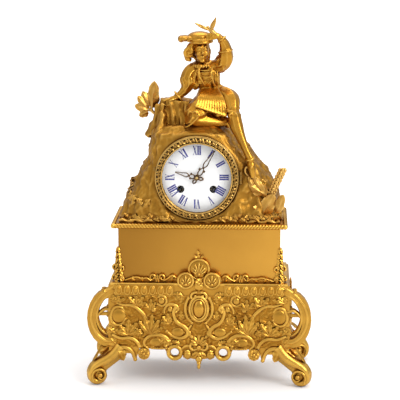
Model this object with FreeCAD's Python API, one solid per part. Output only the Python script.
import FreeCAD, Part
import math
import os

# A gilt bronze mantel clock: a page kneels on a rock beside a tree stump, a bird on the raised hand,
# over a round striking movement in a drum. The rock stands on a plain box pedestal and a
# pierced scroll base with four scroll feet. X runs to the right of someone facing the dial, Y to the
# back and Z up. The origin is on the ground under the middle of the clock.

# Base
base_width = 224.0
base_depth = 124.0
casting_wall = 5.0
apron_height = 46.5
panel_height = 68.0
frieze_height = 13.0
frieze_relief = 2.6
cornice_thickness = 2.4
cornice_setback = 5.0
gadroon_pitch = 10.4

# Pedestal and top plate
pedestal_inset_x = 12.0
pedestal_inset_y = 9.0
pedestal_height = 67.5
sheet_thickness = 2.0
plate_overhang_x = 2.5
plate_overhang_y = 2.0
plate_thickness = 6.5
rope_diameter = 6.5
ornament_relief = 5.0
drop_reach = 8.0

# Feet and handles
foot_reach = 33.0
foot_height = 46.5
foot_breadth = 14.0
leg_width = 12.0
foot_cant = 35.0
handle_reach = 27.0
handle_height = 73.0
handle_thickness = 12.0
handle_rim = 11.0
handle_bar = 4.0

# Front cartouche
crest_radius = 13.0
cabochon_width = 15.0
cabochon_height = 25.0
palmette_width = 20.0
palmette_height = 23.0
pendant_length = 27.0
volute_radius = 4.2

# Rock, stump and plants
mound_height = 117.5
mound_wall = 5.0
lug_size = 12.0
lug_height = 10.0
lug_roof = 3.0
stump_width = 46.0
stump_height = 35.0
sprig_height = 42.0
leaf_thickness = 1.6
wheat_length = 42.0
wheat_width = 11.0
plant_height = 44.0

# Figure
figure_height = 115.0
figure_girth = 38.0
bird_span = 27.0

# Dial, bezels and drum
dial_x = -3.0
dial_z = 260.0
dial_radius = 43.6
dial_thickness = 1.4
dial_front_y = -46.0
sight_radius = 42.4
bezel_radius = 50.8
bezel_depth = 11.0
glass_thickness = 1.6
glass_rise = 5.0
frame_radius = 46.4
flange_width = 5.4
flange_thickness = 2.0
frame_bore = 39.0
rear_ring_y = 46.0
rear_ring_depth = 5.0
door_thickness = 2.0
strap_width = 9.0
strap_thickness = 2.2
hinge_pin_radius = 1.1
hinge_knuckle_radius = 2.2
hinge_length = 15.0
tab_reach = 2.5
tab_height = 5.0
tab_lift = 8.0

# Movement
movement_radius = 41.0
movement_plate = 2.2
motion_depth = 6.4
pillar_gap = 38.0
pillar_radius = 2.6
pillar_places = ((-26.0, 26.0), (26.0, 26.0), (-10.0, -37.0), (10.0, -37.0))
arbor_spread = 20.2
arbor_drop = 15.0
barrel_radius = 17.5
barrel_length = 21.0
barrel_arbor_radius = 2.6
winding_square = 3.6
winding_hole_radius = 4.9
train_arbor_radius = 1.4
pivot_radius = 0.8
pinion_core = 0.6
pinion_length = 2.8
wheel_thickness = 1.6
strike_plane = 7.6
escape_plane = 30.0
going_plane = 9.8
third_plane = 5.2
centre_plane = 2.2
great_teeth = 44
centre_leaves = 12
centre_module = 0.45
third_module = 0.42
escape_rise = 18.8
strike_pinion_turn = 80.0
centre_teeth = 72
third_leaves = 6
third_teeth = 60
escape_leaves = 6
escape_teeth = 36
escape_radius = 9.0
pallet_height = 11.5
motion_module = 0.5
cannon_leaves = 10
minute_teeth = 30
minute_leaves = 8
hour_teeth = 32
cannon_pipe_radius = 1.7
hour_pipe_radius = 2.45
hour_hand_length = 28.0
minute_hand_length = 41.0
hand_thickness = 0.8
hand_lift = 1.6
pendulum_length = 172.5
bob_radius = 17.0
bob_thickness = 9.0
rod_radius = 1.2
bell_radius = 30.0
bell_depth = 15.0
bell_wall = 2.0
bell_drop = 8.0
bell_front_y = 18.0
pendulum_y = 11.0
hammer_x = 33.0
hammer_rise = 18.0
hammer_radius = 2.6
count_wheel_radius = 17.0
count_wheel_thickness = 1.4
count_pipe_radius = 4.2
count_notches = 10
count_steps = 6.0
notch_width = 1.5
centre_pivot = 1.0
crutch_length = 28.0
cock_width = 12.0
cock_lift = 2.6
cock_thickness = 1.6
stand_reach = 14.0
cannon_length = 2.6
cannon_lift = 0.8
hour_hand_width = 9.0
minute_hand_width = 8.0
minute_rest = 33.0
hour_rest = 284.5

# Fasteners
tie_rod_radius = 2.0
screw_radius = 1.8
nut_radius = 4.2
nut_height = 3.2

# Clearances
free_gap = 0.3
running_gap = 0.1
seat_gap = 0.1
overrun = 1.0

# Levels and places that follow from the sizes above
panel_top = apron_height + panel_height + frieze_height
cornice_top = panel_top + cornice_thickness
pedestal_top = cornice_top + pedestal_height
plate_top = pedestal_top + plate_thickness
mound_top = plate_top + mound_height
pedestal_width = base_width - 2 * pedestal_inset_x
pedestal_depth = base_depth - 2 * pedestal_inset_y
plate_width = pedestal_width + 2 * plate_overhang_x
plate_depth = pedestal_depth + 2 * plate_overhang_y
half_width = base_width / 2
half_depth = base_depth / 2
front_y = -half_depth
case_front_y = dial_front_y + dial_thickness
plate_front_y = case_front_y + motion_depth
plates_in_y = plate_front_y + movement_plate
plates_out_y = plates_in_y + pillar_gap
plate_back_y = plates_out_y + movement_plate
mound_bore = frame_radius + free_gap
flange_radius = frame_radius + flange_width
flange_front_y = case_front_y - flange_thickness
bezel_back_y = flange_front_y - free_gap
bezel_front_y = bezel_back_y - bezel_depth
hinge_offset_share = 0.65
hinge_x = dial_x + flange_radius + hinge_knuckle_radius * hinge_offset_share
bezel_hinge_y = flange_front_y - hinge_knuckle_radius
door_inner_y = rear_ring_y + flange_thickness + free_gap
door_hinge_y = rear_ring_y + flange_thickness + hinge_knuckle_radius
arbor_distance = math.hypot(arbor_spread, arbor_drop)
count_wheel_y = plate_back_y + free_gap
notch_share = 0.86
cock_y = count_wheel_y + count_wheel_thickness + rod_radius + free_gap
minute_hand_y = bezel_front_y + bezel_depth * 0.55 + free_gap
hour_hand_y = minute_hand_y + hand_thickness + hand_lift / 2
pipe_front_y = minute_hand_y - free_gap / 2
escape_root_share = 0.84
pin_rim_share = 0.66
bob_shares = ((0.3, -1.0), (0.8, -0.62), (1.0, 0.0), (0.8, 0.62), (0.3, 1.0))
hand_shares = ((-0.17, 0.0), (-0.1, 0.28), (0.0, 0.3), (0.12, 0.2), (0.3, 0.42), (0.48, 0.3), (0.62, 0.12),
               (0.8, 0.1), (1.0, 0.0))
hand_eye_shares = ((0.2, 0.0), (0.31, 0.2), (0.46, 0.0), (0.31, -0.2))
hand_collar_share = 0.5
V = FreeCAD.Vector
os.makedirs("parts", exist_ok=True)


def save(shape, node):
    """Writes one sub-part."""
    if not shape.isValid():
        print("not valid:", node)
    shape.exportStep("parts/" + node + ".step")


def fused(shapes):
    """One solid from pieces that overlap."""
    whole = shapes[0]
    if len(shapes) > 1:
        whole = whole.fuse(shapes[1:])
    return whole.removeSplitter()


def group(shapes):
    """Separate solids that share a node."""
    return Part.makeCompound(shapes)


def mirrored(shape):
    """The same shape on the other side of the middle plane."""
    return shape.mirror(V(0, 0, 0), V(1, 0, 0))


def block(low, high):
    """A box from its lowest to its highest corner."""
    size = V(*high) - V(*low)
    return Part.makeBox(size.x, size.y, size.z, V(*low))


def corners_round(x, z, radius, sides):
    """The (x, z) corners of a round outline drawn with flat facets."""
    turns = [2 * math.pi * (k + 1 / 2) / sides for k in range(sides)]
    return [(x + radius * math.cos(turn), z + radius * math.sin(turn)) for turn in turns]


def drum(x, z, radius, y0, y1, sides=32):
    """A broad faceted disc along Y."""
    return plate_xz(corners_round(x, z, radius, sides), y0, y1)


def rod(x, z, radius, y0, y1):
    """A slim bar along Y, or its bore."""
    return drum(x, z, radius, y0, y1, 12)


def peg(x, y, radius, z0, z1):
    """A slim bar along Z, or its bore."""
    corners = [V(a, b, z0) for a, b in corners_round(x, y, radius, 12)]
    return Part.Face(Part.makePolygon(corners + corners[:1])).extrude(V(0, 0, z1 - z0))


def washer(x, z, outer, inner, y0, y1):
    """A broad flat ring with its axis along Y."""
    return drum(x, z, outer, y0, y1).cut(drum(x, z, inner, y0 - overrun, y1 + overrun))


def lathe(profile, x, z, sides, ring):
    """A faceted turned form about an axis along Y, from (radius, y) points. A ring's profile closes on itself."""
    rings = [[V(a, y, b) for a, b in corners_round(x, z, radius, sides)] for radius, y in profile]
    faces = [] if ring else [Part.Face(Part.makePolygon(end + end[:1])) for end in (rings[0], rings[-1])]
    pairs = list(zip(rings, rings[1:])) + ([(rings[-1], rings[0])] if ring else [])
    for near, far in pairs:
        for i in range(sides):
            j = (i + 1) % sides
            faces.append(Part.Face(Part.makePolygon([near[i], near[j], far[j], far[i], near[i]])))
    solid = Part.Solid(Part.Shell(faces))
    if solid.Volume < 0:
        solid.reverse()
    return solid


def nut(x, y, z0, bore):
    """A hexagon nut with its axis along Z, or a bolt head where it has no bore."""
    corners = [V(x + nut_radius * math.cos(k * math.pi / 3), y + nut_radius * math.sin(k * math.pi / 3), z0)
               for k in range(6)]
    body = Part.Face(Part.makePolygon(corners + corners[:1])).extrude(V(0, 0, nut_height))
    if bore:
        body = body.cut(peg(x, y, bore, z0 - overrun, z0 + nut_height + overrun))
    return body


def plate_xz(points, y0, y1):
    """An outline of (x, z) points made into a plate from y0 to y1."""
    corners = [V(x, y0, z) for x, z in points]
    return Part.Face(Part.makePolygon(corners + corners[:1])).extrude(V(0, y1 - y0, 0))


def skin(rings):
    """A closed solid over rings of points, faceted with flat triangles."""
    faces = [Part.Face(Part.makePolygon(ring + ring[:1])) for ring in (rings[0], rings[-1])]
    for low, high in zip(rings, rings[1:]):
        for i in range(len(low)):
            j = (i + 1) % len(low)
            faces.append(Part.Face(Part.makePolygon([low[i], low[j], high[j], low[i]])))
            faces.append(Part.Face(Part.makePolygon([low[i], high[j], high[i], low[i]])))
    solid = Part.Solid(Part.Shell(faces))
    if solid.Volume < 0:
        solid.reverse()
    return solid


def oval(centre, side, up, side_radius, up_radius, count, lobes=0, lobe_share=0.0):
    """A ring of points in the plane of two directions, with lobes such as pleats or bark if asked."""
    ring = []
    for k in range(count):
        turn = 2 * math.pi * k / count
        swell = 1 + lobe_share * math.cos(lobes * turn)
        ring.append(centre + side * (side_radius * swell * math.cos(turn)) + up * (up_radius * swell * math.sin(turn)))
    return ring


def limb(stations, count=8):
    """A bent, tapering round form through stations of (point, width, depth), flat at both ends."""
    centres = [station[0] for station in stations]
    rings = []
    for k, (centre, width, depth) in enumerate(stations):
        along = centres[min(k + 1, len(centres) - 1)] - centres[max(k - 1, 0)]
        along.normalize()
        side = along.cross(V(0, 1, 0))
        if side.Length < seat_gap:
            side = V(1, 0, 0)
        side.normalize()
        rings.append(oval(centre, side, side.cross(along), width / 2, depth / 2, count))
    return skin(rings)


def level(z, x0, x1, y0, y1, count, lobes=0, lobe_share=0.0):
    """A level ring of points that fills the given width and depth."""
    centre = V((x0 + x1) / 2, (y0 + y1) / 2, z)
    return oval(centre, V(1, 0, 0), V(0, 1, 0), (x1 - x0) / 2, (y1 - y0) / 2, count, lobes, lobe_share)


def gear(teeth, module, drives, x, z, y0, y1, phase=0.0):
    """A toothed wheel, or the slimmer leaves of the pinion that it drives, with its axis along Y."""
    pitch_radius = teeth * module / 2
    tip = pitch_radius + module * (wheel_tip_share if drives else leaf_tip_share)
    root = pitch_radius - module * (wheel_root_share if drives else leaf_root_share)
    shares = wheel_tooth_shares if drives else leaf_tooth_shares
    points = []
    for k in range(teeth):
        radii = (tip, root) if drives else (root, tip, tip, root)
        for radius, share in zip(radii, shares):
            turn = phase + 2 * math.pi / teeth * (k + share)
            points.append((x + radius * math.cos(turn), z + radius * math.sin(turn)))
    return plate_xz(points, y0, y1)


def mating_phase(towards, leaves):
    """The turn that puts a gap of a pinion against a tooth of its wheel, seen in the given direction."""
    return towards + math.pi + math.pi / leaves


def crossed(wheel, x, z, rim, hub, spokes, y0, y1):
    """Cuts the open sectors between the spokes of a wheel."""
    for k in range(spokes):
        middle = 2 * math.pi * (k + crossing_phase_share) / spokes
        half = math.pi / spokes
        points = []
        for radius, width_share in ((hub, hub_width_share), (rim, rim_width_share)):
            sides = (-1, 1) if radius == hub else (1, 0, -1)
            for side in sides:
                turn = middle + side * half * width_share
                points.append((x + radius * math.cos(turn), z + radius * math.sin(turn)))
        wheel = wheel.cut(plate_xz(points, y0 - overrun, y1 + overrun))
    return wheel


# Shares of tooth and wheel sizes
wheel_tip_share = 1.05
wheel_root_share = 1.6
leaf_tip_share = 0.7
leaf_root_share = 1.55
wheel_tooth_shares = (0.0, 0.5)
leaf_tooth_shares = (-0.17, -0.1, 0.1, 0.17)
crossing_phase_share = 0.5
hub_width_share = 0.55
rim_width_share = 0.82

# The pierced base: a front casting with scalloped apron, plainer sides and back
apron_edge = panel_top - apron_height
side_inner = half_width - casting_wall
arch_x = half_width * 0.813
arch_radius = base_width * 0.042
arch_z = apron_height * 0.66
rosette_x = half_width * 0.61
rosette_radius = base_width * 0.033
loop_x = half_width * 0.268
loop_radius = base_width * 0.047
loop_z = apron_height * 0.9
bulb_x = half_width * 0.125
bulb_radius = base_width * 0.027
wall_low_share = 0.86
wall_low = apron_height * wall_low_share
leg_seat_share = (wall_low - apron_height) / apron_edge
apron_shares = (
    (0.0, 1.0), (1.0, 1.0), (1.0, leg_seat_share), (0.745, leg_seat_share), (0.74, -0.2), (0.7, -0.19),
    (0.66, 0.0), (0.38, 0.0), (0.36, -0.06), (0.2, -0.04), (0.13, -0.14), (0.06, -0.16), (0.0, -0.16),
)


def front_outline():
    """The right half of the front panel's outline, then the left half."""
    right = [(half_width * x, apron_height + apron_edge * z) for x, z in apron_shares]
    return right + [(-x, z) for x, z in reversed(right[1:-1])]


def base_front():
    """The front casting, with its arches over the feet, rosettes, bulbs and pierced loops."""
    back_y = front_y + casting_wall
    panel = plate_xz(front_outline(), front_y, back_y)
    for side in (-1, 1):
        rosette = drum(side * rosette_x, apron_height * rosette_z_share, rosette_radius,
                       front_y - rosette_relief, back_y, 16)
        loop = drum(side * loop_x, loop_z, loop_radius, front_y - free_gap, back_y, 14)
        bulb = drum(side * bulb_x, apron_height * bulb_z_share, bulb_radius, front_y, back_y, 12)
        panel = panel.fuse([rosette, loop, bulb])
        loop_bore = loop_radius * loop_bore_share
        panel = panel.cut(drum(side * loop_x, loop_z, loop_bore, front_y - overrun, back_y + overrun, 12))
        panel = panel.cut(drum(side * arch_x, arch_z, arch_radius, front_y - overrun, back_y + overrun, 20))
    return panel.removeSplitter()


def base_walls():
    """The two sides and the back, butted between the front casting and each other."""
    low = wall_low
    rear_y = half_depth - casting_wall
    side = block((side_inner, front_y + casting_wall, low), (half_width, rear_y, panel_top))
    tunnel = [V(side_inner - overrun, y, z) for y, z in corners_round(0, low, half_depth * side_arch_share,
                                                                      20)]
    side = side.cut(Part.Face(Part.makePolygon(tunnel + tunnel[:1])).extrude(V(casting_wall + 2 * overrun,
                                                                               0, 0)))
    back = block((-half_width, rear_y, low), (half_width, half_depth, panel_top))
    back = back.cut(drum(0, low, half_depth * side_arch_share, rear_y - overrun, half_depth + overrun, 20))
    return side, back


rosette_z_share = 0.86
rosette_relief = 2.4
bulb_z_share = 0.84
loop_bore_share = 0.5
side_arch_share = 0.34
save(base_front(), "base_front")
base_side, base_back = base_walls()
save(group([mirrored(base_side), base_side]), "base_sides")
save(base_back, "base_back")

# Scroll feet: an S-shaped leg under each corner that runs out, on a cant, into a curled toe
foot_shares = (
    (0.1, 0.98, 1.0), (0.06, 0.8, 0.9), (0.12, 0.58, 0.85), (0.34, 0.42, 1.0),
    (0.62, 0.34, 1.3), (0.84, 0.3, 1.75), (0.95, 0.29, 1.55),
)
toe_radius_share = 0.28
toe_place_share = 0.72


def foot(x_side, y_side):
    """One scroll foot, whose toe touches the ground."""
    cant = math.radians(foot_cant)
    out = V(x_side * math.cos(cant), y_side * math.sin(cant), 0)
    across = V(-out.y, out.x, 0)
    corner = V(x_side * (half_width - leg_width / 2), y_side * (half_depth - leg_width / 2), 0)
    rings = []
    spine = [corner + out * (foot_reach * u) + V(0, 0, foot_height * w) for u, w, _ in foot_shares]
    for k, (_, _, swell) in enumerate(foot_shares):
        along = spine[min(k + 1, len(spine) - 1)] - spine[max(k - 1, 0)]
        along.normalize()
        rings.append(oval(spine[k], across, across.cross(along), foot_breadth / 2, leg_width / 2 * swell,
                          8))
    toe_radius = foot_height * toe_radius_share
    toe_centre = corner + out * (foot_reach * toe_place_share) + V(0, 0, toe_radius)
    toe_ring = oval(toe_centre - across * (foot_breadth / 2), out, V(0, 0, 1), toe_radius, toe_radius, 16)
    toe = Part.Face(Part.makePolygon(toe_ring + toe_ring[:1])).extrude(across * foot_breadth)
    flat = toe_radius * (1 - math.cos(math.pi / 8))
    toe.translate(V(0, 0, -flat))
    whole = skin(rings).fuse(toe).removeSplitter()
    ground = block((-base_width, -base_width, -foot_height), (base_width, base_width, 0))
    cap = block((-base_width, -base_width, wall_low), (base_width, base_width, base_width))
    return whole.cut(ground).cut(cap)


save(group([foot(-1, -1), foot(1, -1)]), "feet_front")
save(group([foot(-1, 1), foot(1, 1)]), "feet_rear")

# Side handles: pierced C-scrolls that carry on the line of the front casting
handle_z_share = 0.8
handle_bar_share = 0.06
handle_y0 = front_y
handle_y1 = front_y + handle_thickness


def handle():
    """The right handle: a half ring with a bar across its opening."""
    middle_z = apron_height * handle_z_share + handle_height / 2 + handle_rim
    outer = []
    inner = []
    steps = 12
    for k in range(steps + 1):
        turn = math.pi * (k / steps - handle_start_share)
        outer.append((half_width + handle_reach * math.cos(turn),
                      middle_z + handle_height / 2 * math.sin(turn)))
        inner.append((half_width + (handle_reach - handle_rim) * math.cos(turn),
                      middle_z + (handle_height / 2 - handle_rim) * math.sin(turn)))
    ring = plate_xz(outer, handle_y0, handle_y1).cut(plate_xz(inner, handle_y0 - overrun,
                                                              handle_y1 + overrun))
    bar_z = middle_z + handle_height * handle_bar_share
    bar = block((half_width, handle_y0 + handle_bar, bar_z - handle_bar / 2),
                (half_width + handle_reach - handle_rim / 2, handle_y1 - handle_bar,
                 bar_z + handle_bar / 2))
    return ring.fuse(bar).removeSplitter()


handle_start_share = 0.5
right_handle = handle()
save(group([mirrored(right_handle), right_handle]), "side_handles")

# Frieze of gadroons and drops across the front, in two runs that stop at the crest
frieze_run_share = 0.72
gadroon_count = int(half_width * frieze_run_share / gadroon_pitch)
frieze_low = panel_top - frieze_height


def gadroon_run():
    """The right-hand run: a backing strip with a rounded flute at every step."""
    strip_end = half_width * frieze_end_share
    strip_start = strip_end - gadroon_count * gadroon_pitch
    backing_y = front_y - frieze_relief / 2
    pieces = [block((strip_start, backing_y, frieze_low), (strip_end, front_y, panel_top))]
    for k in range(gadroon_count):
        centre = V(strip_start + (k + 1 / 2) * gadroon_pitch, backing_y, frieze_low + frieze_height / 2)
        flute = [oval(centre + V(0, -frieze_relief / 2 * out, 0), V(1, 0, 0), V(0, 0, 1),
                      gadroon_pitch * flute_width_share * swell,
                      frieze_height * flute_height_share * swell, 8)
                 for out, swell in ((-seat_gap, 1.0), (0.0, 1.0), (1.0, flute_crown_share))]
        pieces.append(skin(flute))
    return fused(pieces)


frieze_end_share = 0.93
flute_width_share = 0.36
flute_height_share = 0.42
flute_crown_share = 0.55
right_frieze = gadroon_run()
save(group([mirrored(right_frieze), right_frieze]), "gadroon_frieze")

# Cornice plate over the base, with a window for the pendulum and holes for the tie rods
window_share = 0.75
tie_x = pedestal_width * 0.3
tie_y = pedestal_depth * 0.36
tie_places = [(x, y) for x in (-tie_x, tie_x) for y in (-tie_y, tie_y)]


def deck(width, depth, z0, z1, window_width, window_depth):
    """A level plate with a window in the middle and a hole for each tie rod."""
    plate = block((-width / 2, -depth / 2, z0), (width / 2, depth / 2, z1))
    plate = plate.cut(block((-window_width / 2, -window_depth / 2, z0 - overrun),
                            (window_width / 2, window_depth / 2, z1 + overrun)))
    for x, y in tie_places:
        plate = plate.cut(peg(x, y, tie_rod_radius + seat_gap, z0 - overrun, z1 + overrun))
    return plate


cornice_width = base_width - cornice_setback
window_width = pedestal_width * window_share / 2
window_depth = pedestal_depth * window_share / 2
save(deck(cornice_width, base_depth, panel_top, cornice_top, window_width, window_depth), "base_cornice")

# Gallery: pairs of small volutes that stand on the cornice in front of the pedestal
gallery_x = half_width * 0.46
gallery_spacing = volute_radius * 2.5


def gallery():
    """The right-hand gallery: two volutes on a low scalloped rail."""
    back_y = -pedestal_depth / 2
    rail_y = back_y - ornament_relief / 2
    rail = [(gallery_x + gallery_rail * x, cornice_top + volute_radius * z) for x, z in gallery_shares]
    pieces = [plate_xz(rail, rail_y, back_y)]
    for side in (-1, 1):
        centre = (gallery_x + side * gallery_spacing / 2, cornice_top + volute_radius * gallery_lift_share)
        pieces.append(drum(*centre, volute_radius, back_y - ornament_relief, back_y, 12))
    return fused(pieces)


gallery_rail = half_width * 0.26
gallery_lift_share = 1.25
gallery_shares = ((-1.0, 0.0), (1.0, 0.0), (0.9, 0.55), (0.55, 1.1), (0.3, 0.7), (-0.3, 0.7), (-0.55, 1.1),
                  (-0.9, 0.55))
right_gallery = gallery()
save(group([mirrored(right_gallery), right_gallery]), "gallery_scrolls")

# Pedestal: a plain box of sheet, with foliate drops on its front corners
inner_x = pedestal_width / 2 - sheet_thickness
inner_y = pedestal_depth / 2 - sheet_thickness
shell = block((-pedestal_width / 2, -pedestal_depth / 2, cornice_top),
              (pedestal_width / 2, pedestal_depth / 2, pedestal_top))
pedestal = shell.cut(block((-inner_x, -inner_y, cornice_top - overrun), (inner_x, inner_y,
                                                                         pedestal_top + overrun)))
save(pedestal, "pedestal_box")

drop_shares = ((0.0, 0.1, 0.25), (0.22, 0.3, 0.4), (0.34, 0.62, 0.5), (0.52, 0.5, 0.45), (0.7, 0.85, 0.8),
               (0.86, 0.75, 0.8), (1.0, 1.15, 0.9))
drop_height = pedestal_height * 0.63


def corner_drop():
    """The right front corner's drop: foliage that widens down the corner to the cornice."""
    corner = V(pedestal_width / 2, -pedestal_depth / 2, cornice_top + drop_height)
    rings = []
    for down, reach, inward in drop_shares:
        z = -drop_height * down
        out = drop_reach * reach
        lap = drop_reach * inward
        rings.append([corner + V(*step) for step in (
            (0, 0, z), (0, lap, z), (out, lap / 2, z), (out * corner_share, -out * corner_share, z),
            (-lap / 2, -out * front_share, z), (-lap, 0, z))])
    return skin(rings)


corner_share = 0.6
front_share = 0.8
right_drop = corner_drop()
save(group([mirrored(right_drop), right_drop]), "corner_drops")

# Top plate, whose edge carries the rope moulding and which the rock is screwed down to
lug_start = plate_width * 0.4
screw_x = lug_start + lug_size / 2
rope_radius = rope_diameter / 2
top_plate = deck(plate_width, plate_depth, pedestal_top, plate_top, window_width, window_depth)
for x in (-screw_x, screw_x):
    top_plate = top_plate.cut(peg(x, 0, screw_radius + seat_gap, pedestal_top - overrun,
                                  plate_top + overrun))
save(top_plate, "top_plate")


def rope():
    """The rope that frames the plate, mitred at its corners."""
    x_out = plate_width / 2 + rope_radius
    y_out = plate_depth / 2 + rope_radius
    z = pedestal_top + plate_thickness / 2
    rings = []
    for x_side, y_side in ((-1, -1), (1, -1), (1, 1), (-1, 1), (-1, -1)):
        out = V(x_side, y_side, 0)
        rings.append(oval(V(x_side * x_out, y_side * y_out, z), out, V(0, 0, 1), rope_radius, rope_radius,
                          8))
    sides = [skin([near, far]) for near, far in zip(rings, rings[1:])]
    core = block((-plate_width / 2, -plate_depth / 2, pedestal_top - overrun),
                 (plate_width / 2, plate_depth / 2, plate_top + overrun))
    return fused(sides).cut(core)


save(rope(), "rope_moulding")

# Tie bolts that clamp the base, pedestal and top plate together, each with its head under the cornice
# and a nut on the plate
ties = []
for x, y in tie_places:
    shank = peg(x, y, tie_rod_radius, panel_top - nut_height / 2, plate_top + nut_height)
    ties.append(shank.fuse(nut(x, y, panel_top - nut_height, 0)))
    ties.append(nut(x, y, plate_top, tie_rod_radius))
save(group(ties), "tie_bolts")

# Front cartouche: a shell crest over the cornice, an oval boss and a palmette with a pendant
crest_z = cornice_top + crest_radius * 1.3
cabochon_z = apron_height + panel_height * 0.76
palmette_z = apron_height + palmette_height * 0.05


def fan(x, z, radius, stretch, lobes, y_back, relief, start, sweep):
    """A scalloped fan of lobes, raised towards its middle."""
    def edge(y, scale):
        ring = []
        steps = lobes * 2
        for k in range(steps + 1):
            turn = math.radians(start + sweep * k / steps)
            reach = radius * scale * (1 if k % 2 else fan_notch_share)
            ring.append(V(x + reach * math.cos(turn), y, z + stretch * reach * math.sin(turn)))
        return ring
    return skin([edge(y_back, 1), edge(y_back - relief / 2, 1), edge(y_back - relief, fan_crown_share)])


def boss(x, z, width, height, y_back, relief, count):
    """An oval boss with a rounded crown."""
    rings = []
    for out, swell in boss_shares:
        rings.append(oval(V(x, y_back - relief * out, z), V(1, 0, 0), V(0, 0, 1),
                          width / 2 * swell, height / 2 * swell, count))
    return skin(rings)


fan_notch_share = 0.86
fan_crown_share = 0.5
boss_shares = ((0.0, 1.0), (0.35, 0.97), (0.75, 0.7), (1.0, 0.3))
crest_back = -pedestal_depth / 2
side_fan_share = 0.75
crest_sweep = (-40, 260)
foot_fan_sweep = (10, 160)
side_fan_sweep = (0, 180)
palmette_sweep = (-10, 200)
spike_height = crest_radius * 1.9
spike_width = crest_radius * 0.3
crest = fan(0, crest_z, crest_radius, 1, 9, crest_back, ornament_relief, *crest_sweep)
spike = plate_xz([(-spike_width, crest_z), (spike_width, crest_z), (0, crest_z + spike_height)],
                 crest_back - ornament_relief / 2, crest_back)
foot_fan = fan(0, cornice_top, crest_radius, 1, 8, crest_back, ornament_relief, *foot_fan_sweep)
side_fans = [fan(side * crest_radius, cornice_top, crest_radius * side_fan_share, 1, 6, crest_back,
                 ornament_relief * side_fan_share, *side_fan_sweep) for side in (-1, 1)]
save(fused([crest, spike, foot_fan] + side_fans), "cartouche_crest")
cabochon_back = boss(0, cabochon_z, cabochon_width * 1.7, cabochon_height * 1.35, front_y,
                     ornament_relief * 0.6, 16)
cabochon_eye = boss(0, cabochon_z, cabochon_width, cabochon_height, front_y - ornament_relief * 0.4,
                    ornament_relief * 0.8, 16)
save(fused([cabochon_back, cabochon_eye]), "cabochon")
palmette = fan(0, palmette_z, palmette_width / 2, palmette_height / palmette_width * 1.3, 7, front_y,
               ornament_relief * 0.8, *palmette_sweep)
pendant_y = front_y + casting_wall / 2
pendant_low = palmette_z - pendant_length
pendant = limb([(V(0, pendant_y, palmette_z), palmette_width * 0.5, casting_wall * 0.9),
                (V(0, pendant_y, palmette_z - pendant_length * 0.35), palmette_width * 0.36,
                 casting_wall * 0.9),
                (V(0, pendant_y, palmette_z - pendant_length * 0.75), palmette_width * 0.22,
                 casting_wall * 0.8),
                (V(0, pendant_y, pendant_low), palmette_width * 0.06, casting_wall * 0.3)])
pendant = pendant.cut(plate_xz(front_outline(), front_y - overrun, front_y + casting_wall + overrun))
save(group([palmette, pendant]), "palmette_pendant")

# Rock: a hollow casting with a bore for the clock drum, flat round the dial and round the back door.
# Its levels are (height, left edge, right edge, front depth, back depth), as shares of the rock's
# height, of half the plate's width and of half the plate's depth.
mound_shares = (
    (0.0, -1.0, 1.0, -0.96, 0.96), (0.24, -0.9, 0.945, -0.9, 0.9), (0.42, -0.79, 0.87, -0.87, 0.87),
    (0.6, -0.655, 0.7, -0.87, 0.87), (0.78, -0.62, 0.49, -0.87, 0.87), (0.93, -0.58, 0.35, -0.82, 0.82),
    (1.0, -0.48, 0.24, -0.6, 0.6),
)
mound_sides = 16
hollow_sides = 8
hollow_levels = (0, 2, 4, 6)
mound_squareness = 0.5


def rock_ring(share, inset, sink, sides):
    """A rounded rectangle at one level of the rock, drawn in by the wall for the hollow."""
    height, left, right, front, back = share
    x0 = plate_width / 2 * left + inset
    x1 = plate_width / 2 * right - inset
    y0 = plate_depth / 2 * front + inset
    y1 = plate_depth / 2 * back - inset
    ring = []
    for k in range(sides):
        turn = 2 * math.pi * (k + 1 / 2) / sides
        c = math.cos(turn)
        s = math.sin(turn)
        c = math.copysign(abs(c) ** mound_squareness, c)
        s = math.copysign(abs(s) ** mound_squareness, s)
        ring.append(V((x0 + x1) / 2 + (x1 - x0) / 2 * c, (y0 + y1) / 2 + (y1 - y0) / 2 * s,
                      plate_top + mound_height * height - sink))
    return ring


def mound():
    """The rock, with lugs inside for its screws and a seat for the figure's stud on its crown."""
    outside = skin([rock_ring(share, 0, 0, mound_sides) for share in mound_shares])
    hollow = [rock_ring(mound_shares[k], mound_wall, mound_wall * mound_shares[k][0], hollow_sides)
              for k in hollow_levels]
    hollow[0] = [corner - V(0, 0, overrun) for corner in hollow[0]]
    rock = outside.cut(skin(hollow))
    for side in (-1, 1):
        lug = block((min(side * lug_start, side * plate_width / 2), -lug_size / 2, plate_top),
                    (max(side * lug_start, side * plate_width / 2), lug_size / 2, plate_top + lug_height))
        rock = rock.fuse(lug.common(outside))
        rock = rock.cut(peg(side * screw_x, 0, screw_radius, plate_top - overrun,
                            plate_top + lug_height - lug_roof))
    seat_radius = flange_radius + free_gap
    pocket_x = hinge_knuckle_radius + free_gap
    pocket_z = hinge_length / 2 + free_gap
    rock = rock.cut(block((dial_x, -plate_depth, dial_z - pocket_z),
                          (hinge_x + pocket_x, case_front_y, dial_z + pocket_z)))
    rock = rock.cut(block((dial_x, rear_ring_y, dial_z - pocket_z),
                          (hinge_x + pocket_x, plate_depth, dial_z + pocket_z)))
    rock = rock.cut(drum(dial_x, dial_z, seat_radius, -plate_depth, case_front_y))
    rock = rock.cut(drum(dial_x, dial_z, seat_radius, rear_ring_y, plate_depth))
    rock = rock.cut(drum(dial_x, dial_z, mound_bore, -plate_depth, plate_depth))
    rock = rock.cut(peg(figure_x, figure_y, screw_radius + seat_gap, mound_top - 3 * mound_wall,
                        mound_top + overrun))
    rock = rock.cut(peg(figure_x, figure_y, nut_radius + free_gap, stud_low - nut_height,
                        mound_top - mound_wall))
    return rock.removeSplitter()


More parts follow.
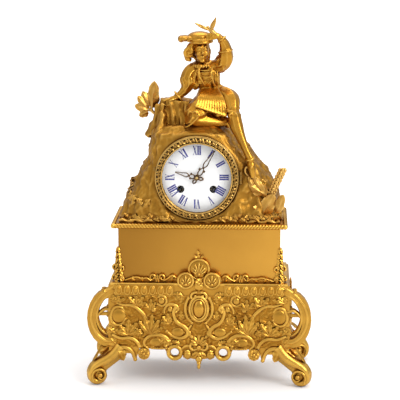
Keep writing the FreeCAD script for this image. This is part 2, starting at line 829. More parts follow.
figure_x = plate_width / 2 * 0.08
figure_y = plate_depth / 2 * -0.42
stud_low = mound_top - mound_wall - nut_height
stud_high = mound_top + nut_height * 1.5
rock_shape = mound()
save(rock_shape, "mound")

# Fixings: screws that hold the rock down to the plate, and the stud and nut that hold the figure on it
screw_head = nut_radius * 0.85
fixings = [peg(figure_x, figure_y, screw_radius, stud_low, stud_high), nut(figure_x, figure_y, stud_low,
                                                                           screw_radius)]
for side in (-1, 1):
    shank = peg(side * screw_x, 0, screw_radius - running_gap, pedestal_top,
                plate_top + lug_height - lug_roof)
    head = peg(side * screw_x, 0, screw_head, pedestal_top - nut_height / 2, pedestal_top)
    fixings.append(shank.fuse(head))
save(group(fixings), "fixings")

# Stump: a broad, bark-ridged trunk behind the kneeling knee, with a sawn limb on its left
stump_middle = plate_width / 2 * -0.34
stump_foot = mound_top - mound_wall
stump_shares = ((0.0, 1.06, 0.9), (0.35, 1.0, 0.85), (0.7, 0.93, 0.8), (1.0, 0.85, 0.7))
bark_ridges = 5
bark_share = 0.05


def stump():
    """The trunk, sunk to the rock's crown and cut to it."""
    rings = []
    for height, width, depth in stump_shares:
        z = stump_foot + (stump_height - mound_wall) * height
        half = stump_width / 2 * width
        rings.append(level(z, stump_middle - half, stump_middle + half, -half * depth, half * depth, 15,
                           bark_ridges, bark_share))
    trunk = skin(rings)
    top_z = stump_foot + stump_height
    knot = limb([(V(stump_middle - stump_width * 0.2, 0, top_z - stump_width * 0.3), stump_width * 0.36,
                  stump_width * 0.36),
                 (V(stump_middle - stump_width * 0.3, -stump_width * 0.42, top_z - stump_width * 0.24),
                  stump_width * 0.3, stump_width * 0.3)])
    return trunk.fuse(knot)


crown_cut = block((-plate_width, -plate_depth, plate_top - plate_width), (plate_width, plate_depth,
                                                                          mound_top))
trunk = stump().cut(crown_cut)
save(trunk, "stump")

# Leaf sprig beside the stump: a stem with four folded leaves, as (foot, tip, width) in shares of its height
sprig_x = stump_middle - stump_width / 2 * 0.93
sprig_z = stump_foot + stump_height * 0.4
sprig_leaves = (((-0.08, 0.36), (-0.06, 1.0), 0.22), ((-0.1, 0.32), (-0.38, 0.72), 0.15),
                ((-0.12, 0.24), (-0.5, 0.58), 0.15), ((-0.1, 0.12), (-0.62, 0.26), 0.22))


def leaf(foot, tip, width, y, thickness):
    """A pointed leaf from foot to tip, (x, z) each, with a raised middle rib."""
    a = V(foot[0], y, foot[1])
    b = V(tip[0], y, tip[1])
    along = b - a
    across = V(along.z, 0, -along.x)
    across.normalize()
    rings = []
    for t, spread in leaf_shares:
        centre = a + along * t
        half = across * (width / 2 * spread)
        rib = V(0, thickness * rib_share, 0)
        flat = V(0, thickness / 2, 0)
        rings.append([centre - half, centre - rib, centre + half, centre + half + flat,
                      centre + flat, centre - half + flat])
    return skin(rings)


leaf_shares = ((0.0, 0.3), (0.25, 0.85), (0.5, 1.0), (0.8, 0.6), (1.0, 0.08))
rib_share = 0.8


def leaf_sprig():
    """The sprig, whose stem runs into the side of the stump."""
    pieces = [limb([(V(sprig_x, 0, sprig_z), leaf_thickness * 2.2, leaf_thickness * 2.2),
                    (V(sprig_x - sprig_height * 0.12, 0, sprig_z + sprig_height * 0.1), leaf_thickness * 2,
                     leaf_thickness * 2),
                    (V(sprig_x - sprig_height * 0.08, 0, sprig_z + sprig_height * 0.42), leaf_thickness,
                     leaf_thickness)], 6)]
    for foot, tip, width in sprig_leaves:
        pieces.append(leaf((sprig_x + sprig_height * foot[0], sprig_z + sprig_height * foot[1]),
                           (sprig_x + sprig_height * tip[0], sprig_z + sprig_height * tip[1]),
                           sprig_height * width, 0, leaf_thickness))
    return fused(pieces)


save(leaf_sprig().cut(trunk).Solids[0], "leaf_sprig")

# Wheat spike and broad leaves on the right shoulder of the rock
plant_x = plate_width / 2 * 0.8
plant_y = -plate_depth * 0.36
plant_z = plate_top + mound_height * 0.06
broad_leaves = (((0.0, 0.5), (-0.34, 0.72), 0.34), ((0.05, 0.05), (-0.3, 0.42), 0.36),
                ((0.1, 0.25), (0.28, 0.5), 0.22), ((0.0, 0.55), (-0.3, 0.98), 0.18))


def wheat():
    """A leaning spike of grain on its stalk, with a grain at every step on both sides."""
    lean = V(wheat_length * wheat_lean_share, 0, wheat_length)
    foot = V(plant_x, plant_y, plant_z + plant_height * wheat_foot_share)
    stalk = V(plant_x - lean.x * stalk_share, plant_y + wheat_width / 2,
              plate_top + mound_height * stalk_share)
    pieces = [limb([(stalk, leaf_thickness * 1.6, leaf_thickness * 1.6), (foot, leaf_thickness * 1.6,
                                                                          leaf_thickness * 1.6),
                    (foot + lean * 0.95, leaf_thickness, leaf_thickness)], 6)]
    for k in range(grain_rows):
        base = foot + lean * (k / grain_rows)
        for side in (-1, 1):
            out = V(side * wheat_width / 2, 0, wheat_length / grain_rows * 1.2)
            pieces.append(limb([(base, grain_width * 0.5, grain_width * 0.5), (base + out * 0.5,
                                                                               grain_width, grain_width),
                                (base + out, grain_width * 0.3, grain_width * 0.3)], 4))
    return fused(pieces)


wheat_lean_share = 0.33
wheat_foot_share = 0.36
stalk_share = 0.12
grain_rows = 5
grain_width = wheat_width * 0.42


def foliage():
    """Three broad leaves and a curling one, joined on a short stem that runs into the rock."""
    y = plant_y - wheat_width * 0.8
    stem_foot = V(plant_x, -plate_depth * 0.3, plant_z + plant_height * 0.1)
    pieces = [limb([(stem_foot, leaf_thickness * 3, leaf_thickness * 3), (V(plant_x, y,
                                                                            plant_z + plant_height * 0.15),
                    leaf_thickness * 2.4, leaf_thickness * 2.4), (V(plant_x, y,
                                                                    plant_z + plant_height * 0.6),
                    leaf_thickness * 1.6, leaf_thickness * 1.6)], 6)]
    for foot, tip, width in broad_leaves:
        pieces.append(leaf((plant_x + plant_height * foot[0], plant_z + plant_height * foot[1]),
                           (plant_x + plant_height * tip[0], plant_z + plant_height * tip[1]),
                           plant_height * width, y, leaf_thickness))
    return fused(pieces)


wheat_shape = wheat().cut(rock_shape)
leaves_shape = foliage().cut(rock_shape).cut(wheat_shape)
save(max(wheat_shape.Solids, key=lambda solid: solid.Volume), "wheat_spike")
save(max(leaves_shape.Solids, key=lambda solid: solid.Volume), "broad_leaves")

# Figure: a page in tunic, breeches and flat cap, kneeling on one knee. Its joints are shares of its
# height, measured from the crown of the rock; widths and depths are shares of its girth.


def body_point(share):
    """A place on the figure, from shares of its height."""
    return V(figure_height * share[0], figure_height * share[1], mound_top + figure_height * share[2])


def body_form(stations, count=8):
    """A limb of the figure through (place, width, depth) shares."""
    return limb([(body_point(place), figure_girth * width, figure_girth * depth)
                 for place, width, depth in stations], count)


torso_shares = (((0.15, 0.017, 0.2), 0.8, 0.66), ((0.14, 0.01, 0.28), 0.84, 0.68), ((0.104, 0.0, 0.37),
                                                                                    0.7, 0.56),
                ((0.065, -0.03, 0.49), 0.95, 0.66), ((0.035, -0.05, 0.6), 0.95, 0.58), ((0.02, -0.06,
                                                                                         0.65), 0.45, 0.42),
                ((0.018, -0.075, 0.69), 0.34, 0.34))
skirt_shares = (((0.1, 0.0, 0.38), 0.74, 0.62), ((0.14, -0.01, 0.31), 1.1, 0.95), ((0.18, -0.02, 0.2), 1.4,
                                                                                   1.2))
pleats = 9
pleat_share = 0.07
thigh_shares = (((0.13, -0.02, 0.25), 0.7, 0.7), ((0.03, -0.16, 0.2), 0.84, 0.8), ((-0.07, -0.26, 0.12),
                                                                                   0.74, 0.74),
                ((-0.12, -0.3, 0.1), 0.5, 0.5))
shin_shares = (((-0.1, -0.27, 0.07), 0.6, 0.6), ((0.07, -0.22, 0.045), 0.5, 0.5), ((0.2, -0.19, 0.03),
                                                                                   0.36, 0.36),
               ((0.3, -0.17, 0.03), 0.3, 0.26))
hip_shares = (((0.19, -0.02, 0.27), 0.7, 0.7), ((0.3, -0.12, 0.27), 0.76, 0.7), ((0.355, -0.24, 0.15), 0.5,
                                                                                 0.5))
calf_shares = (((0.335, -0.22, 0.17), 0.46, 0.46), ((0.385, -0.3, 0.03), 0.47, 0.46), ((0.43, -0.35,
                                                                                        -0.09), 0.36, 0.36),
               ((0.5, -0.395, -0.25), 0.25, 0.26), ((0.545, -0.405, -0.34), 0.3, 0.32), ((0.565, -0.425,
                                                                                          -0.42), 0.27,
                                                                                          0.28),
               ((0.575, -0.43, -0.53), 0.14, 0.16))
head_shares = (((0.02, -0.08, 0.66), 0.32, 0.32), ((0.025, -0.1, 0.7), 0.36, 0.4), ((0.02, -0.105, 0.745),
                                                                                    0.5, 0.54),
               ((0.01, -0.1, 0.8), 0.56, 0.6), ((0.0, -0.095, 0.87), 0.56, 0.62), ((0.0, -0.09, 0.93),
                                                                                   0.44, 0.5))
hair_shares = (((-0.02, -0.03, 0.67), 0.4, 0.4), ((-0.09, -0.05, 0.73), 0.5, 0.46), ((-0.1, -0.06, 0.82),
                                                                                     0.5, 0.5),
               ((-0.03, -0.04, 0.9), 0.4, 0.4))
cap_shares = (((-0.24, -0.1, 0.9), 0.14, 0.36), ((-0.17, -0.1, 0.935), 0.3, 0.6), ((-0.05, -0.1, 0.945),
                                                                                   0.36, 0.78),
              ((0.05, -0.1, 0.935), 0.36, 0.7), ((0.1, -0.1, 0.9), 0.16, 0.34))
raised_shares = (((0.12, -0.05, 0.61), 0.4, 0.4), ((0.2, -0.07, 0.63), 0.48, 0.48), ((0.262, -0.11, 0.69),
                                                                                     0.5, 0.5),
                 ((0.27, -0.14, 0.76), 0.46, 0.46), ((0.262, -0.165, 0.85), 0.36, 0.36), ((0.205, -0.2,
                                                                                           0.93), 0.23,
                                                                                           0.22),
                 ((0.15, -0.22, 0.962), 0.22, 0.16), ((0.075, -0.232, 0.957), 0.14, 0.1))
lowered_shares = (((-0.06, -0.04, 0.61), 0.42, 0.42), ((-0.12, -0.06, 0.52), 0.5, 0.5), ((-0.115, -0.07,
                                                                                          0.45), 0.54, 0.5),
                  ((-0.17, -0.08, 0.36), 0.32, 0.32), ((-0.245, -0.09, 0.29), 0.21, 0.21), ((-0.3, -0.085,
                                                                                             0.27), 0.24,
                                                                                             0.17),
                  ((-0.37, -0.075, 0.26), 0.16, 0.12))

legs = fused([body_form(thigh_shares), body_form(shin_shares), body_form(hip_shares),
              body_form(calf_shares)])
legs = legs.cut(rock_shape).cut(trunk).cut(peg(figure_x, figure_y, screw_radius, stud_low, stud_high))
legs = max(legs.Solids, key=lambda solid: solid.Volume)
save(legs, "figure_legs")


def torso():
    """The trunk of the body with its pleated tunic skirt."""
    rings = []
    for place, width, depth in reversed(skirt_shares):
        rings.append(oval(body_point(place), V(1, 0, 0), V(0, 1, 0), figure_girth * width / 2,
                          figure_girth * depth / 2, 4 * pleats, pleats, pleat_share))
    return fused([body_form(torso_shares), skin(rings)])


def largest(shape):
    """The main solid that a cut leaves."""
    return max(shape.Solids, key=lambda solid: solid.Volume)


figure_body = largest(torso().cut(legs).cut(rock_shape).cut(trunk))
save(figure_body, "figure_body")
head = fused([body_form(head_shares), body_form(hair_shares), body_form(cap_shares)])
figure_head = largest(head.cut(figure_body))
save(figure_head, "figure_head")
raised_arm = largest(body_form(raised_shares, 8).cut(figure_body).cut(figure_head))
save(raised_arm, "raised_arm")
lowered_arm = largest(body_form(lowered_shares, 8).cut(figure_body).cut(figure_head).cut(legs).cut(trunk))
save(lowered_arm, "lowered_arm")

# Bird that has come down on the raised hand, one wing up and one spread away
bird_shares = (((0.5, 0.0, -0.1), 0.1, 0.1), ((0.3, 0.0, 0.05), 0.2, 0.2), ((0.05, 0.0, 0.15), 0.26, 0.24),
               ((-0.12, 0.0, 0.3), 0.15, 0.15), ((-0.3, 0.0, 0.28), 0.04, 0.04))
perch = body_point((0.11, -0.225, 0.985))


def bird():
    """The bird's body and its two wings."""
    stations = [(perch + V(bird_span * x, bird_span * y, bird_span * z), bird_span * w, bird_span * d)
                for (x, y, z), w, d in bird_shares]
    wing_root = (perch.x, perch.z + bird_span * 0.12)
    raised = leaf(wing_root, (perch.x + bird_span * 0.26, perch.z + bird_span * 0.76), bird_span * 0.36,
                  perch.y, leaf_thickness)
    spread = leaf(wing_root, (perch.x - bird_span * 0.76, perch.z + bird_span * 0.5), bird_span * 0.14,
                  perch.y, leaf_thickness)
    return fused([limb(stations, 8), raised, spread])


save(largest(bird().cut(raised_arm).cut(figure_head)), "bird")

# Dial frame: a sleeve in the rock's bore whose flange lies on the rock round the dial, with one
# hinge knuckle for the bezel on its right
def knuckles(x, y, parts, bore):
    """Hinge barrels round a vertical pin; parts gives each one's (start, end) share of the hinge length."""
    barrels = []
    for start, end in parts:
        z0 = dial_z + hinge_length * (start - 1 / 2)
        z1 = dial_z + hinge_length * (end - 1 / 2)
        barrel = peg(x, y, hinge_knuckle_radius, z0, z1)
        web = block((x - hinge_web, y - hinge_web_y * (1 if y > 0 else 0), z0),
                    (x, y + hinge_web_y * (0 if y > 0 else 1), z1))
        barrels.append(barrel.fuse(web).cut(peg(x, y, bore, z0 - overrun, z1 + overrun)))
    return barrels


fixed_knuckles = ((0.0, 0.3), (0.7, 1.0))
moving_knuckle = (0.3 + free_gap / hinge_length, 0.7 - free_gap / hinge_length)
hinge_web = hinge_knuckle_radius * 1.3
hinge_web_y = hinge_knuckle_radius
pin_bore = hinge_pin_radius + running_gap
sleeve = washer(dial_x, dial_z, frame_radius, frame_bore, case_front_y, plate_front_y)
flange = washer(dial_x, dial_z, flange_radius, dial_radius + seat_gap, flange_front_y, case_front_y)
bezel_space = drum(dial_x, dial_z, bezel_radius + free_gap, bezel_front_y - overrun, flange_front_y)
fixed = [barrel.cut(bezel_space) for barrel in knuckles(hinge_x, bezel_hinge_y, fixed_knuckles,
                                                        hinge_pin_radius)]
save(fused([sleeve, flange] + fixed), "dial_frame")

# Enamel dial with its centre hole and two winding holes
hole_places = [(dial_x + side * arbor_spread, dial_z - arbor_drop) for side in (-1, 1)]
dial = drum(dial_x, dial_z, dial_radius, dial_front_y, case_front_y)
dial = dial.cut(rod(dial_x, dial_z, hour_pipe_radius * 1.5, dial_front_y - overrun, case_front_y + overrun))
for x, z in hole_places:
    dial = dial.cut(rod(x, z, winding_hole_radius, dial_front_y - overrun, case_front_y + overrun))
save(dial, "dial")

# Front bezel: a cast ring with a seat for the domed glass, a finger tab on the left and a knuckle
glass_seat = sight_radius + glass_thickness
glass_back_y = bezel_front_y + bezel_depth * 0.55
bezel_profile = ((glass_seat, bezel_back_y), (bezel_radius, bezel_back_y), (bezel_radius,
                                                                            bezel_back_y - bezel_depth * 0.35),
                 ((bezel_radius + glass_seat) / 2, bezel_front_y), (sight_radius,
                                                                    bezel_front_y + bezel_depth * 0.25),
                 (sight_radius, glass_back_y - glass_thickness), (glass_seat,
                                                                  glass_back_y - glass_thickness))
bezel = lathe(bezel_profile, dial_x, dial_z, 32, True)
tab = block((dial_x - bezel_radius - tab_reach, bezel_back_y - 2 * flange_thickness, dial_z + tab_lift),
            (dial_x - bezel_radius + 2 * flange_thickness, bezel_back_y - flange_thickness,
             dial_z + tab_lift + tab_height))


def swinging_knuckle(y, ring_radius):
    """The barrel and arm that join a bezel or door to its hinge pin, between the fixed barrels."""
    z0 = dial_z + hinge_length * (moving_knuckle[0] - 1 / 2)
    z1 = dial_z + hinge_length * (moving_knuckle[1] - 1 / 2)
    outward = math.copysign(hinge_knuckle_radius / 2, y)
    arm = block((dial_x + ring_radius - flange_thickness, min(y, y + outward), z0),
                (hinge_x, max(y, y + outward), z1))
    return arm.fuse(peg(hinge_x, y, hinge_knuckle_radius, z0, z1))


def pin_hole(y):
    """The running hole for a hinge pin."""
    return peg(hinge_x, y, pin_bore, dial_z - hinge_length, dial_z + hinge_length)


bezel = bezel.fuse([tab, swinging_knuckle(bezel_hinge_y, bezel_radius)]).removeSplitter()
bezel = bezel.cut(pin_hole(bezel_hinge_y))
save(bezel, "front_bezel")

# Domed glass, seated in the bezel
glass_front_y = glass_back_y - glass_thickness
glass_edge = glass_seat - seat_gap
glass_shares = ((0.97, 0.0), (0.6, 0.66), (0.25, 1.0))
dome_front = [(sight_radius * r, glass_front_y - glass_rise * rise) for r, rise in glass_shares]
dome_back = [(sight_radius * r, glass_back_y - glass_rise * rise) for r, rise in reversed(glass_shares)]
glass_profile = dome_back + [(glass_edge, glass_back_y), (glass_edge, glass_front_y)] + dome_front
glass = lathe(glass_profile, dial_x, dial_z, 32, False)
save(glass, "front_glass")

# Rear ring and its hinged door, and the straps that draw the ring and the dial frame together
door_panel_shares = ((0.9, -0.5), (0.9, 0.0), (0.82, 1.0))
knob_place_share = 0.93
strap_radius = frame_radius - strap_thickness / 2 - overrun
rear_bore = strap_radius - strap_thickness / 2
rear_sleeve = washer(dial_x, dial_z, frame_radius, rear_bore, rear_ring_y - rear_ring_depth, rear_ring_y)
rear_flange = washer(dial_x, dial_z, flange_radius, rear_bore, rear_ring_y, rear_ring_y + flange_thickness)
door_space = drum(dial_x, dial_z, bezel_radius + free_gap, rear_ring_y + flange_thickness, plate_depth)
rear_fixed = [barrel.cut(door_space) for barrel in knuckles(hinge_x, door_hinge_y, fixed_knuckles,
                                                            hinge_pin_radius)]
save(fused([rear_sleeve, rear_flange] + rear_fixed), "rear_ring")
door_y = door_inner_y + door_thickness
door = drum(dial_x, dial_z, bezel_radius, door_inner_y, door_y)
panel = lathe([(rear_bore * r, door_y + door_thickness * rise) for r, rise in door_panel_shares], dial_x,
              dial_z, 32, False)
knob = drum(dial_x - bezel_radius * knob_place_share, dial_z, hinge_knuckle_radius, door_y,
            door_y + 2 * hinge_knuckle_radius, 12)
door = fused([door, panel, knob, swinging_knuckle(door_hinge_y, bezel_radius)]).cut(pin_hole(door_hinge_y))
save(door, "rear_door")
pins = [peg(hinge_x, y, hinge_pin_radius, dial_z - hinge_length / 2, dial_z + hinge_length / 2)
        for y in (bezel_hinge_y, door_hinge_y)]
save(group(pins), "hinge_pins")
straps = [block((dial_x + side * strap_radius - strap_thickness / 2, plate_front_y,
                 dial_z - strap_width / 2),
                (dial_x + side * strap_radius + strap_thickness / 2, rear_ring_y - rear_ring_depth,
                 dial_z + strap_width / 2))
          for side in (-1, 1)]
save(group(straps), "movement_straps")

# Movement. Its planes are measured back from the front plate's inner face, its places from the centre arbor.
barrel_plane = 12.4
great_module = 2 * arbor_distance / (great_teeth + centre_leaves)
centre_distance = centre_module * (centre_teeth + third_leaves) / 2
escape_distance = third_module * (third_teeth + escape_leaves) / 2
third_z = (centre_distance ** 2 - escape_distance ** 2 + escape_rise ** 2) / (2 * escape_rise)
third_x = math.sqrt(centre_distance ** 2 - third_z ** 2)
pallet_z = escape_rise + pallet_height
strike_turn = math.radians(strike_pinion_turn)
strike_x = -arbor_spread + arbor_distance * math.cos(strike_turn)
strike_z = -arbor_drop + arbor_distance * math.sin(strike_turn)
minute_distance = motion_module * (cannon_leaves + minute_teeth) / 2
pin_wheel_radius = centre_distance * 0.76
pin_circle = pin_wheel_radius * 0.82


def plane(depth):
    """The Y of a plane of the movement."""
    return plates_in_y + depth


def arbor(x, z, slim_start, slim_end):
    """A train arbor from plate to plate with a pivot at both ends, slim where its pinion is cut into it."""
    x = dial_x + x
    z = dial_z + z
    return fused([rod(x, z, pivot_radius, plate_front_y, plates_in_y + free_gap),
                  rod(x, z, train_arbor_radius, plates_in_y + free_gap, plane(slim_start)),
                  rod(x, z, pinion_core, plane(slim_start), plane(slim_end)),
                  rod(x, z, train_arbor_radius, plane(slim_end), plates_out_y - free_gap),
                  rod(x, z, pivot_radius, plates_out_y - free_gap, plate_back_y)])


def placed_gear(teeth, module, drives, x, z, depth, length, phase=0.0):
    """A wheel or pinion of the movement."""
    return gear(teeth, module, drives, dial_x + x, dial_z + z, plane(depth), plane(depth) + length, phase)


pivot_bore = pivot_radius + running_gap
arbor_bore = barrel_arbor_radius + running_gap
pivots = ((third_x, third_z), (0, escape_rise), (strike_x, strike_z))
hammer_place = (-hammer_x, hammer_rise)


def movement_plate_disc(y0, y1, bores):
    """A round plate with a bore for each (x, z, radius)."""
    disc = drum(dial_x, dial_z, movement_radius, y0, y1)
    for x, z, radius in bores:
        disc = disc.cut(rod(dial_x + x, dial_z + z, radius, y0 - overrun, y1 + overrun))
    return disc


front_bores = [(x, z, pivot_bore) for x, z in pivots + ((0, pallet_z), hammer_place)]
front_bores += [(-arbor_spread, -arbor_drop, arbor_bore), (arbor_spread, -arbor_drop, arbor_bore)]
front_bores.append((0, 0, centre_pivot + running_gap))
front_plate = movement_plate_disc(plate_front_y, plates_in_y, front_bores)
minute_stud_y = case_front_y + free_gap
front_plate = front_plate.fuse(rod(dial_x + minute_distance, dial_z, centre_pivot, minute_stud_y,
                                   plate_front_y))
save(front_plate, "front_plate")
back_bores = [(x, z, pivot_bore) for x, z in pivots + ((0, 0),)]
back_bores += [(0, pallet_z, train_arbor_radius + running_gap),
               hammer_place + (train_arbor_radius + running_gap,)]
back_bores.append((arbor_spread, -arbor_drop, arbor_bore))
back_plate = movement_plate_disc(plates_out_y, plate_back_y, back_bores)
pipe_hole = drum(dial_x - arbor_spread, dial_z - arbor_drop, count_pipe_radius + running_gap, plates_in_y,
                 count_wheel_y, 20)
save(back_plate.cut(pipe_hole), "back_plate")
pillars = [drum(dial_x + x, dial_z + z, pillar_radius, plates_in_y, plates_out_y, 12) for x,
           z in pillar_places]
save(group(pillars), "plate_pillars")

# Barrels and their winding arbors
barrel_places = {"strike": (-arbor_spread, strike_plane), "going": (arbor_spread, going_plane)}
for name, (x, depth) in barrel_places.items():
    towards = math.atan2(arbor_drop, -x) if name == "going" else strike_turn
    barrel = placed_gear(great_teeth, great_module, True, x, -arbor_drop, depth, wheel_thickness, towards)
    cx = dial_x + x
    cz = dial_z - arbor_drop
    barrel = barrel.fuse([drum(cx, cz, barrel_radius / 2, plane(depth), plane(barrel_plane), 16),
                          drum(cx, cz, barrel_radius, plane(barrel_plane),
                               plane(barrel_plane) + barrel_length, 32)])
    if name == "strike":
        barrel = barrel.fuse(drum(cx, cz, count_pipe_radius, plane(barrel_plane),
                                  count_wheel_y + count_wheel_thickness, 20))
    save(barrel.cut(rod(cx, cz, arbor_bore, plates_in_y, count_wheel_y * 3)), name + "_barrel")
    half = winding_square / 2
    square = block((cx - half, dial_front_y + free_gap, cz - half), (cx + half, plate_front_y - free_gap,
                                                                     cz + half))
    shaft = rod(cx, cz, barrel_arbor_radius, plate_front_y - free_gap, plate_back_y)
    save(square.fuse(shaft), name + "_arbor")
count_x = dial_x - arbor_spread
count_z = dial_z - arbor_drop
count_back_y = count_wheel_y + count_wheel_thickness
count_wheel = drum(count_x, count_z, count_wheel_radius, count_wheel_y, count_back_y, 30)
count_wheel = count_wheel.cut(drum(count_x, count_z, count_pipe_radius, count_wheel_y - overrun,
                                   count_back_y + overrun, 20))
for k in range(count_notches):
    turn = math.radians(count_steps * k * (k + 1) / 2)
    notch = block((count_wheel_radius * notch_share, count_wheel_y - overrun, -notch_width / 2),
                  (count_wheel_radius + overrun, count_back_y + overrun, notch_width / 2))
    notch.rotate(V(0, 0, 0), V(0, 1, 0), math.degrees(turn))
    notch.translate(V(count_x, 0, count_z))
    count_wheel = count_wheel.cut(notch)
save(count_wheel, "count_wheel")

# Going train: centre, third and escape wheels
wheel_rim_share = 0.82
wheel_hub_share = 0.28


def wheel(teeth, module, x, z, depth, phase):
    """A crossed-out train wheel with five spokes."""
    whole = placed_gear(teeth, module, True, x, z, depth, wheel_thickness, phase)
    radius = teeth * module / 2
    return crossed(whole, dial_x + x, dial_z + z, radius * wheel_rim_share, radius * wheel_hub_share, 5,
                   plane(depth), plane(depth) + wheel_thickness)


third_turn = math.atan2(third_z, third_x)
escape_turn = math.atan2(escape_rise - third_z, -third_x)
centre = [wheel(centre_teeth, centre_module, 0, 0, centre_plane, third_turn),
          placed_gear(centre_leaves, great_module, False, 0, 0, going_plane - free_gap,
                      pinion_length - free_gap,
                      mating_phase(math.atan2(arbor_drop, -arbor_spread), centre_leaves)),
          rod(dial_x, dial_z, train_arbor_radius, plates_in_y + free_gap, plates_out_y - free_gap),
          rod(dial_x, dial_z, pivot_radius, plates_out_y - free_gap, plate_back_y),
          rod(dial_x, dial_z, centre_pivot, pipe_front_y, plates_in_y + free_gap)]
save(fused(centre), "centre_wheel")
third = [wheel(third_teeth, third_module, third_x, third_z, third_plane, escape_turn),
         placed_gear(third_leaves, centre_module, False, third_x, third_z, centre_plane - free_gap,
                     third_plane - centre_plane + free_gap,
                     mating_phase(third_turn, third_leaves)),
         arbor(third_x, third_z, centre_plane - 2 * free_gap, third_plane)]
save(fused(third), "third_wheel")
escape_points = []
for k in range(escape_teeth):
    for radius, share in ((escape_radius, 0.0), (escape_radius * escape_root_share, 0.12)):
        turn = 2 * math.pi * (k + share) / escape_teeth
        escape_points.append((dial_x + radius * math.cos(turn),
                              dial_z + escape_rise + radius * math.sin(turn)))
escape = plate_xz(escape_points, plane(escape_plane), plane(escape_plane) + wheel_thickness)
escape = crossed(escape, dial_x, dial_z + escape_rise, escape_radius * escape_root_share * wheel_rim_share,
                 escape_radius * wheel_hub_share, 4, plane(escape_plane),
                 plane(escape_plane) + wheel_thickness)
escape = [escape, arbor(0, escape_rise, third_plane - 2 * free_gap,
                        third_plane - 2 * free_gap + pinion_length),
          placed_gear(escape_leaves, third_module, False, 0, escape_rise, third_plane - 2 * free_gap,
                      pinion_length,
                      mating_phase(escape_turn, escape_leaves))]
save(fused(escape), "escape_wheel")

# Pallets on their arbor, with the crutch that forks round the pendulum rod
anchor_inner = escape_radius + overrun
anchor_outer = pallet_height + 2 * train_arbor_radius
anchor = []
for radius, ends in ((anchor_inner, (38, 142)), (anchor_outer, (132, 48))):
    steps = 6
    for k in range(steps + 1):
        turn = math.radians(ends[0] + (ends[1] - ends[0]) * k / steps)
        anchor.append((dial_x + radius * math.cos(turn), dial_z + escape_rise + radius * math.sin(turn)))
anchor_y = plane(escape_plane) - free_gap
anchor = plate_xz(anchor, anchor_y, anchor_y + wheel_thickness + 2 * free_gap)
axis_z = dial_z + pallet_z
crutch_y = count_back_y
crutch_low = axis_z - crutch_length
prong_inner = rod_radius + free_gap
prong_outer = prong_inner + rod_radius
crutch = block((dial_x - prong_outer, crutch_y, crutch_low), (dial_x + prong_outer, crutch_y + rod_radius,
                                                              axis_z))
prongs = [block((dial_x + min(side * prong_inner, side * prong_outer), crutch_y, crutch_low),
                (dial_x + max(side * prong_inner, side * prong_outer), pendulum_y + 2 * rod_radius,
                 crutch_low + 2 * rod_radius))
          for side in (-1, 1)]
pallet_arbor = rod(dial_x, axis_z, train_arbor_radius, plates_in_y + free_gap, crutch_y + rod_radius)
pallet_pivots = [rod(dial_x, axis_z, pivot_radius, plate_front_y, plates_in_y + free_gap),
                 rod(dial_x, axis_z, pivot_radius, crutch_y + rod_radius, cock_y + cock_thickness)]
save(fused([anchor, crutch, pallet_arbor] + prongs + pallet_pivots), "pallets")

# Suspension cock, screwed to the back plate over the pallet arbor's rear pivot, with the spring strip
cock = block((dial_x - cock_width / 2, plate_back_y, axis_z + cock_lift),
             (dial_x + cock_width / 2, pendulum_y + rod_radius, axis_z + 2 * cock_lift))
tongue = block((dial_x - cock_width / 4, cock_y, axis_z - cock_lift),
               (dial_x + cock_width / 4, cock_y + cock_thickness, axis_z + 2 * cock_lift))
tongue = tongue.cut(rod(dial_x, axis_z, pivot_bore, cock_y - overrun, cock_y + cock_thickness + overrun))
strip = block((dial_x - rod_radius, pendulum_y - running_gap, axis_z), (dial_x + rod_radius,
                                                                        pendulum_y + running_gap,
                                                                        axis_z + 2 * cock_lift))
save(fused([cock, tongue, strip]), "suspension_cock")

# Pendulum: rod, lens bob and rating nut
bob_z = axis_z - pendulum_length
bob_profile = [(bob_radius * r, pendulum_y + bob_thickness / 2 * y) for r, y in bob_shares]
bob = lathe(bob_profile, dial_x, bob_z, 20, False)
pendulum_rod = peg(dial_x, pendulum_y, rod_radius, bob_z - bob_radius - nut_height * 2, axis_z - free_gap)
rating_nut = nut(dial_x, pendulum_y, bob_z - bob_radius - nut_height, 0)
save(fused([bob, pendulum_rod, rating_nut]), "pendulum")

# Motion work behind the dial, and the hands
cannon_y = plate_front_y - cannon_lift
cannon = placed_gear(cannon_leaves, motion_module, False, 0, 0, cannon_y - cannon_length - plates_in_y,
                     cannon_length,
                     mating_phase(math.pi, cannon_leaves))
cannon = fused([cannon, rod(dial_x, dial_z, cannon_pipe_radius, pipe_front_y, cannon_y)])
save(cannon.cut(rod(dial_x, dial_z, centre_pivot + running_gap, pipe_front_y - overrun, plates_in_y)),
     "cannon_pinion")
minute_y = cannon_y - cannon_length / 2 - wheel_thickness / 2
minute_pinion_y = minute_stud_y + free_gap
minute = placed_gear(minute_teeth, motion_module, True, minute_distance, 0, minute_y - plates_in_y,
                     wheel_thickness / 2, math.pi)
minute = fused([minute, placed_gear(minute_leaves, motion_module, False, minute_distance, 0,
                                    minute_pinion_y - plates_in_y,
                                    minute_y - minute_pinion_y, mating_phase(0, minute_leaves))])
minute = minute.cut(rod(dial_x + minute_distance, dial_z, centre_pivot + running_gap,
                        minute_pinion_y - overrun, plates_in_y))
save(minute, "minute_wheel")
hour_y = minute_pinion_y + free_gap
hour = placed_gear(hour_teeth, motion_module, True, 0, 0, hour_y - plates_in_y, wheel_thickness / 2, 0.0)
hour = fused([hour, rod(dial_x, dial_z, hour_pipe_radius, hour_hand_y - free_gap, hour_y)])
hour_bore = cannon_pipe_radius + running_gap
save(hour.cut(rod(dial_x, dial_z, hour_bore, hour_hand_y - 2 * overrun, plates_in_y)), "hour_wheel")


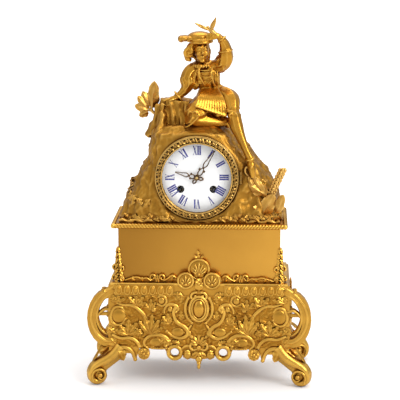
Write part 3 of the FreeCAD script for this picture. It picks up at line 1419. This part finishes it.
def hand(length, width, bore, y0, turn):
    """A pierced hand that points the given degrees clockwise from twelve."""
    def outline(shares):
        points = []
        for u, v in shares:
            points.append((dial_x + length * u * math.sin(angle) + width * v * math.cos(angle),
                           dial_z + length * u * math.cos(angle) - width * v * math.sin(angle)))
        return points
    angle = math.radians(turn)
    blade = plate_xz(outline(hand_shares + tuple((u, -v) for u, v in reversed(hand_shares[1:-1]))), y0,
                     y0 + hand_thickness)
    blade = blade.cut(plate_xz(outline(hand_eye_shares), y0 - overrun, y0 + hand_thickness + overrun))
    collar = drum(dial_x, dial_z, width * hand_collar_share, y0, y0 + hand_thickness, 16)
    return blade.fuse(collar).removeSplitter().cut(rod(dial_x, dial_z, bore, y0 - overrun,
                                                       y0 + hand_thickness + overrun))


save(hand(hour_hand_length, hour_hand_width, hour_pipe_radius, hour_hand_y, hour_rest), "hour_hand")
save(hand(minute_hand_length, minute_hand_width, cannon_pipe_radius, minute_hand_y, minute_rest),
     "minute_hand")

# Striking: pin wheel, bell on its stand, and the hammer beside the bell
pin_wheel = drum(dial_x + strike_x, dial_z + strike_z, pin_wheel_radius, plane(third_plane),
                 plane(third_plane) + wheel_thickness, 24)
pin_wheel = crossed(pin_wheel, dial_x + strike_x, dial_z + strike_z, pin_wheel_radius * pin_rim_share,
                    pin_wheel_radius * wheel_hub_share, 5, plane(third_plane),
                    plane(third_plane) + wheel_thickness)
strike_pins = [drum(dial_x + strike_x + pin_circle * math.cos(k * math.pi / 4),
                    dial_z + strike_z + pin_circle * math.sin(k * math.pi / 4),
                    pivot_radius, plane(third_plane) - overrun, plane(third_plane) + free_gap,
                    6) for k in range(8)]
strike_leaves = placed_gear(centre_leaves, great_module, False, strike_x, strike_z,
                            strike_plane - 2 * free_gap, pinion_length,
                            mating_phase(strike_turn, centre_leaves))
pin_arbor = arbor(strike_x, strike_z, strike_plane, strike_plane + free_gap)
save(fused([pin_wheel, strike_leaves, pin_arbor] + strike_pins), "pin_wheel")
bell_z = dial_z - bell_drop
bell_bore = screw_radius + seat_gap
bell_flat = nut_radius + overrun
bell_shares = ((1.0, 0.0), (0.97, 0.4), (0.74, 0.83))
bell_profile = [(bell_radius * r, bell_front_y + bell_depth * d) for r, d in bell_shares]
for radius, inset in ((bell_flat, 0), (bell_bore, 0), (bell_bore, bell_wall), (bell_flat, bell_wall)):
    bell_profile.append((radius, bell_front_y + bell_depth - inset))
bell_profile += [(bell_radius * r - bell_wall, bell_front_y + (bell_depth - bell_wall) * d) for r,
                 d in reversed(bell_shares)]
save(lathe(bell_profile, dial_x, bell_z, 24, True), "bell")
bell_back_y = bell_front_y + bell_depth
stand_bar_y = bell_front_y + 2 * bell_wall
stand = [block((dial_x + stand_reach - bell_wall, plate_back_y, bell_z - 2 * bell_wall),
               (dial_x + stand_reach + bell_wall, stand_bar_y + 2 * bell_wall, bell_z + 2 * bell_wall)),
         block((dial_x - bell_wall, stand_bar_y, bell_z - bell_wall), (dial_x + stand_reach,
                                                                       stand_bar_y + 2 * bell_wall,
                                                                       bell_z + bell_wall)),
         drum(dial_x, bell_z, nut_radius, stand_bar_y, bell_back_y - bell_wall, 12),
         drum(dial_x, bell_z, screw_radius, bell_back_y - 2 * bell_wall, bell_back_y + nut_height, 12),
         drum(dial_x, bell_z, nut_radius, bell_back_y, bell_back_y + nut_height, 6)]
save(fused(stand), "bell_stand")
hammer_axis_x = dial_x - hammer_x
hammer_axis_z = dial_z + hammer_rise
head_y = count_back_y + overrun
arm_half = rod_radius
hammer = [rod(hammer_axis_x, hammer_axis_z, train_arbor_radius, plates_in_y + free_gap, head_y + overrun),
          rod(hammer_axis_x, hammer_axis_z, pivot_radius, plate_front_y, plates_in_y + free_gap),
          block((hammer_axis_x - arm_half, head_y, bell_z), (hammer_axis_x + arm_half,
                                                             head_y + 2 * rod_radius, hammer_axis_z)),
          drum(dial_x - bell_radius - hammer_radius - overrun, bell_z, hammer_radius, head_y,
               bell_front_y + 2 * bell_wall, 12)]
save(fused(hammer), "bell_hammer")
